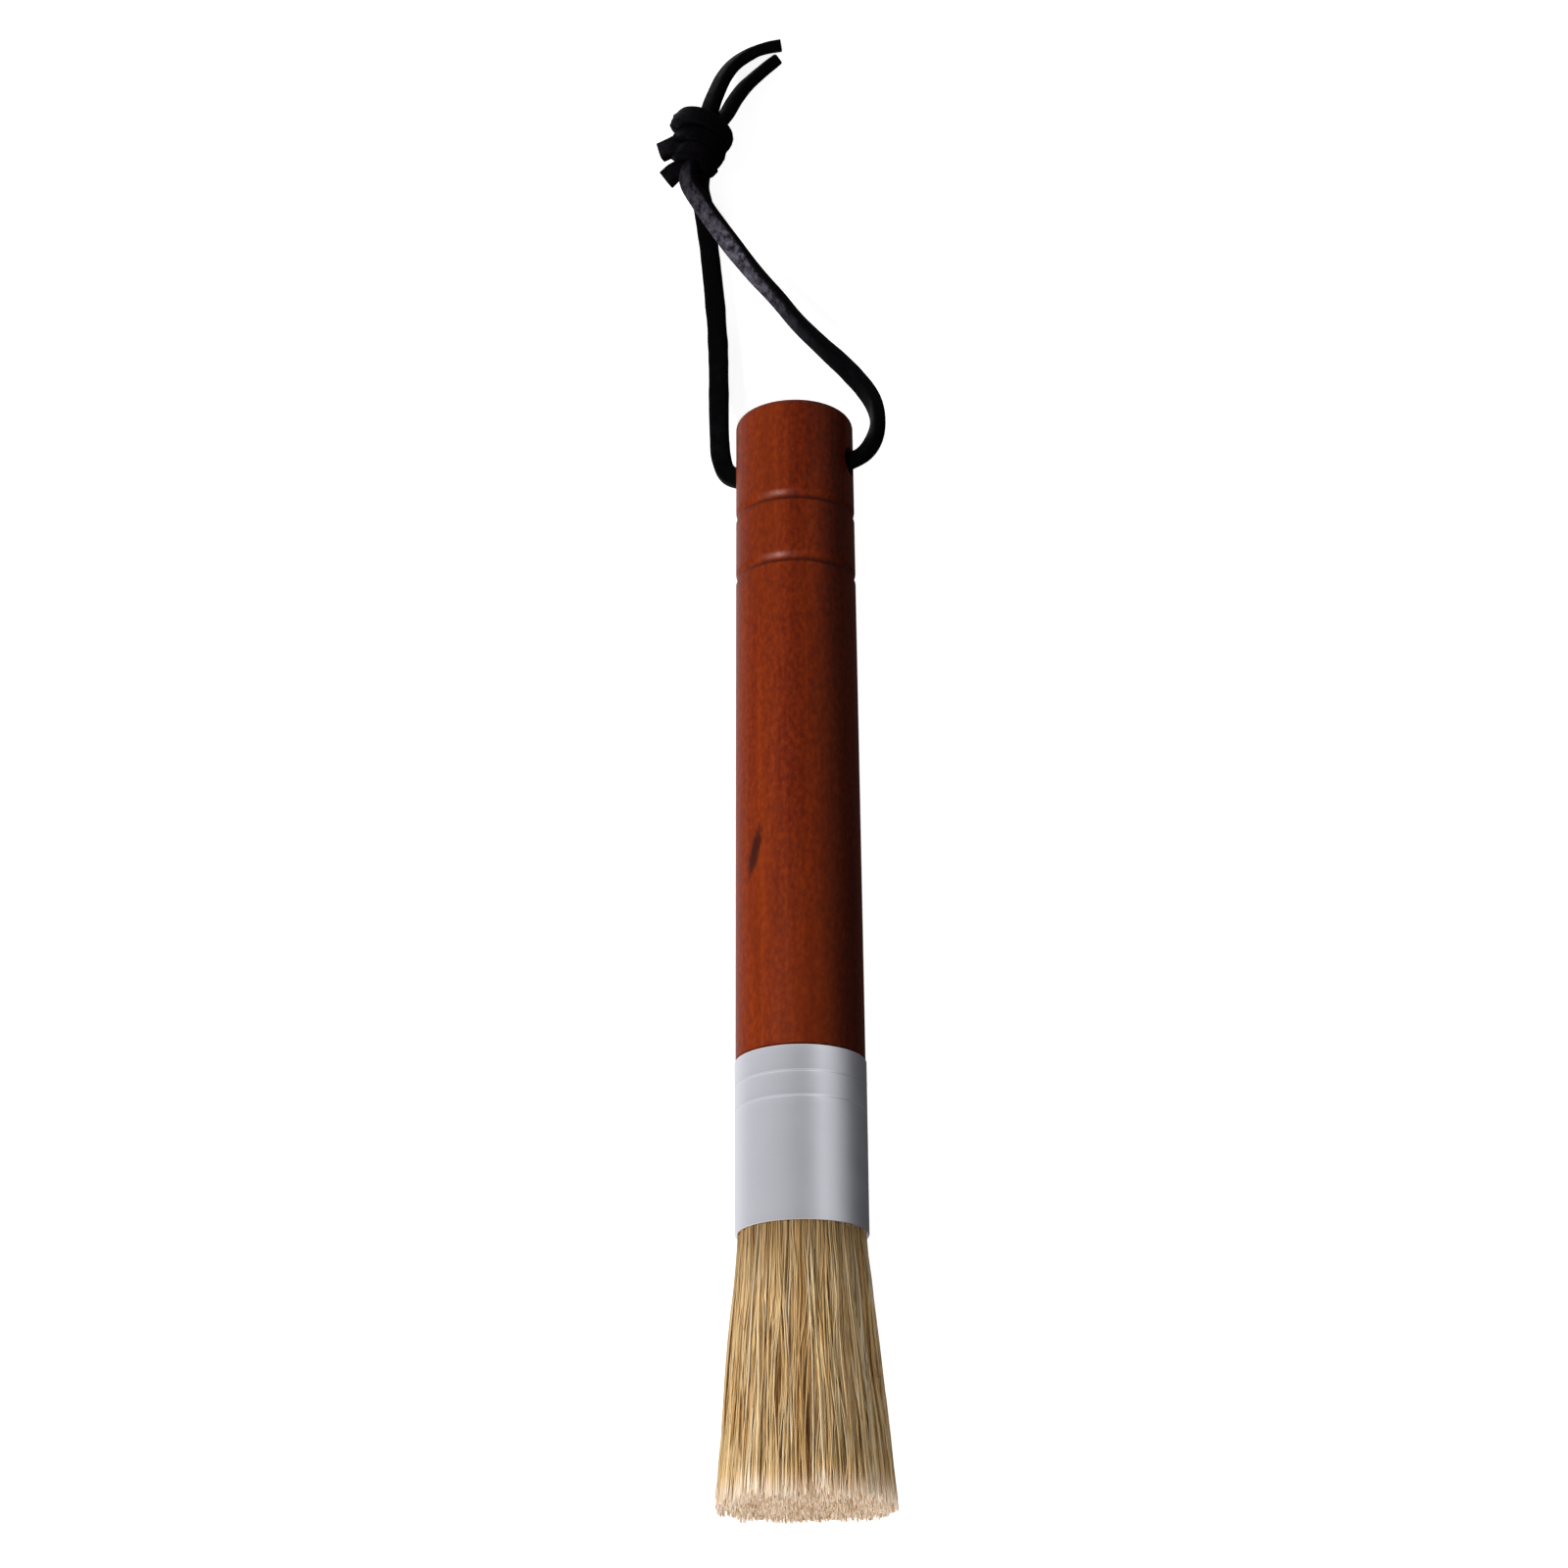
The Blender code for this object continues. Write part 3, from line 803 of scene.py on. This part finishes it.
def make_knot(look):
    """The binding lace: from the upper stub it runs under its own turns, winds round and ends below."""
    route = in_metres(UPPER_STUB)
    for turn, along, grow in ((150, 0.6, 0.7), (90, 1.6, 0.5), (-90, 2.6, 0.5), (-160, 3.2, 0.9)):
        route.append(knot_place(turn, along, grow))
    for step in range(KNOT_STEPS):
        arched = 1.17 if step < 3 else 1.0  # the first turn stands out over the others
        route.append(knot_place(180 - 45 * step, 3.9 - 0.40 * step, arched))
    route += in_metres(LOWER_STUB)
    line = smooth_line(route, LACE_STEP)
    mesh = ribbon("knot_binding_lace", line, ((0, 0), (1, 0)), BINDING_PAINTED_SHEEN, seed=5)
    knot = add_piece("knot_binding_lace", mesh)
    finish_piece(knot, "lanyard", ["knot_binding"], look)
    return knot


# ---------------------------------------------------------------- studio


def place_camera():
    """The camera stands high on the bristles' side and is turned a little about its own line of sight."""
    towards = Vector(
        (
            math.sin(VIEW_AZIMUTH) * math.cos(VIEW_ELEVATION),
            -math.cos(VIEW_AZIMUTH) * math.cos(VIEW_ELEVATION),
            math.sin(VIEW_ELEVATION),
        )
    )
    right = Matrix.Rotation(VIEW_ROLL, 3, towards) @ Vector((0, 0, 1)).cross(towards).normalized()
    up = towards.cross(right)
    camera = bpy.data.objects.new("camera", bpy.data.cameras.new("camera"))
    camera.data.lens, camera.data.sensor_width = LENS, SENSOR
    camera.data.clip_start, camera.data.clip_end = 0.01, 10
    facing = Matrix((right, up, towards)).transposed().to_4x4()
    camera.matrix_world = Matrix.Translation(VIEW_TARGET + towards * VIEW_DISTANCE) @ facing
    bpy.context.scene.collection.objects.link(camera)
    bpy.context.scene.camera = camera


def area_light(name, place, size, power, aim=VIEW_TARGET):
    """A square soft light, size metres on a side."""
    data = bpy.data.lights.new(name, "AREA")
    data.shape = "SQUARE"
    data.size = size
    data.energy = power
    light = bpy.data.objects.new(name, data)
    light.location = place
    light.rotation_euler = (Vector(aim) - Vector(place)).to_track_quat("-Z", "Y").to_euler()
    bpy.context.scene.collection.objects.link(light)
    return light


def shine_only_on(light, *pieces):
    """Keep the lamp's light to the pieces of these names, as a snoot on a studio lamp would."""
    reached = bpy.data.collections.new(light.name + "_reaches")
    for piece in pieces:
        reached.objects.link(bpy.data.objects[piece])
    light.light_linking.receiver_collection = reached


def light_round(tree, coordinates, share_lit, right_share=1.0):
    """Soft surroundings: bright on the left, dark on the right, brighter towards both ends of the brush."""

    def node(kind, *inputs, **settings):
        made = tree.nodes.new(kind)
        for name, value in settings.items():
            setattr(made, name, value)
        for socket, value in zip(made.inputs, inputs):
            if isinstance(value, bpy.types.NodeSocket):
                tree.links.new(value, socket)
            else:
                socket.default_value = value
        return made

    place = node("ShaderNodeTexCoord").outputs[coordinates]
    direction = node("ShaderNodeVectorMath", place, operation="NORMALIZE")
    apart = node("ShaderNodeSeparateXYZ", direction.outputs["Vector"])
    angle = node("ShaderNodeMath", apart.outputs["X"], apart.outputs["Z"], operation="ARCTAN2")
    share = node("ShaderNodeMath", angle.outputs[0], 1 / (2 * math.pi), 0.5, operation="MULTIPLY_ADD")
    ramp = node("ShaderNodeValToRGB", share.outputs[0])
    elements = ramp.color_ramp.elements
    while len(elements) < len(STUDIO_ROUND):
        elements.new(0.5)
    for element, (degrees, brightness) in zip(elements, STUDIO_ROUND):
        element.position = degrees / 360 + 0.5
        if degrees > 0:
            brightness *= right_share
        element.color = (brightness, brightness, brightness, 1)
    endwards = node("ShaderNodeMath", apart.outputs["Y"], apart.outputs["Y"], operation="MULTIPLY")
    more_lit = 0.9 * share_lit
    strength = node("ShaderNodeMath", endwards.outputs[0], more_lit, share_lit, operation="MULTIPLY_ADD")
    if "Background" in tree.nodes:
        inputs = tree.nodes["Background"].inputs
        tint, power = inputs["Color"], inputs["Strength"]
    else:
        inputs = tree.nodes["Principled BSDF"].inputs
        tint, power = inputs["Emission Color"], inputs["Emission Strength"]
    tree.links.new(ramp.outputs["Color"], tint)
    tree.links.new(strength.outputs[0], power)


def make_dome(name, radius, lowest):
    """A round room about the brush that casts no shadow. lowest is its lower edge's angle in degrees."""
    sides = 64
    around = np.linspace(0, 2 * math.pi, sides, endpoint=False)
    rings = []
    for up in np.radians(np.linspace(lowest, 88, 24)):
        rings.append(
            np.stack(
                [np.cos(up) * np.cos(around), np.cos(up) * np.sin(around), np.full(sides, math.sin(up))],
                -1,
            )
        )
    mesh = tubes(name, radius * np.array(rings)[None])
    look = bpy.data.materials.new(name)
    look.use_nodes = True
    shader = look.node_tree.nodes["Principled BSDF"]
    shader.inputs["Base Color"].default_value = (0, 0, 0, 1)
    shader.inputs["Specular IOR Level"].default_value = 0
    shader.inputs["Emission Color"].default_value = (1, 1, 1, 1)
    shader.inputs["Emission Strength"].default_value = 1
    mesh.materials.append(look)
    dome = bpy.data.objects.new(name, mesh)
    bpy.context.scene.collection.objects.link(dome)
    dome.visible_diffuse = False
    dome.visible_shadow = False
    return dome


def make_floor():
    corners = [(x * FLOOR_REACH, y * FLOOR_REACH, 0) for x, y in ((-1, -1), (1, -1), (1, 1), (-1, 1))]
    mesh = bpy.data.meshes.new("floor")
    mesh.from_pydata(corners, [], [(0, 1, 2, 3)])
    floor = bpy.data.objects.new("floor", mesh)
    bpy.context.scene.collection.objects.link(floor)
    mesh.materials.append(floor_look())
    floor.visible_diffuse = False
    floor.visible_glossy = False


def make_studio():
    """A white floor and backdrop, surroundings for the shiny surfaces to show, and four lamps."""
    make_floor()
    backdrop = make_dome("backdrop", BACKDROP_RADIUS, -4)
    backdrop.visible_glossy = False
    mirrored = make_dome("mirrored", MIRRORED_RADIUS, -88)
    mirrored.visible_camera = False
    light_round(mirrored.data.materials[0].node_tree, "Object", 1.0)
    world = bpy.data.worlds.new("studio")
    world.use_nodes = True
    light_round(world.node_tree, "Generated", LIT_SHARE, RIGHT_SHARE)
    bpy.context.scene.world = world
    key = area_light("key", (-0.84, -0.24, 0.74), 0.45, 11.7)
    front = area_light("front", (-0.25, -1.0, 0.22), 0.40, 3.8, aim=Vector((0, TIP_Y, 10 * MM)))
    near = area_light("near", (0.10, -0.32, 0.30), 0.12, 0.58, aim=BRISTLES_MIDDLE)
    for lamp in (key, front, near):
        lamp.visible_glossy = False
    shine_only_on(near, *BRISTLE_PIECES, "floor")
    # Shows only in the handle's lacquer, as the glint on the slopes of its grooves that face the camera
    glint = area_light("glint", (-0.50, -0.30, 0.90), 0.35, 17.0)
    glint.visible_diffuse = False
    shine_only_on(glint, "turned_handle")
    bpy.context.scene.view_settings.view_transform = "Standard"


place_camera()
make_lace(leather_look())
make_handle(wood_look())
make_ferrule(metal_look())
make_bristles(bristle_look())
plug_materials = frame["nodes"]["resin_plug"].data.materials
plug_materials.clear()
plug_materials.append(resin_look())
make_studio()
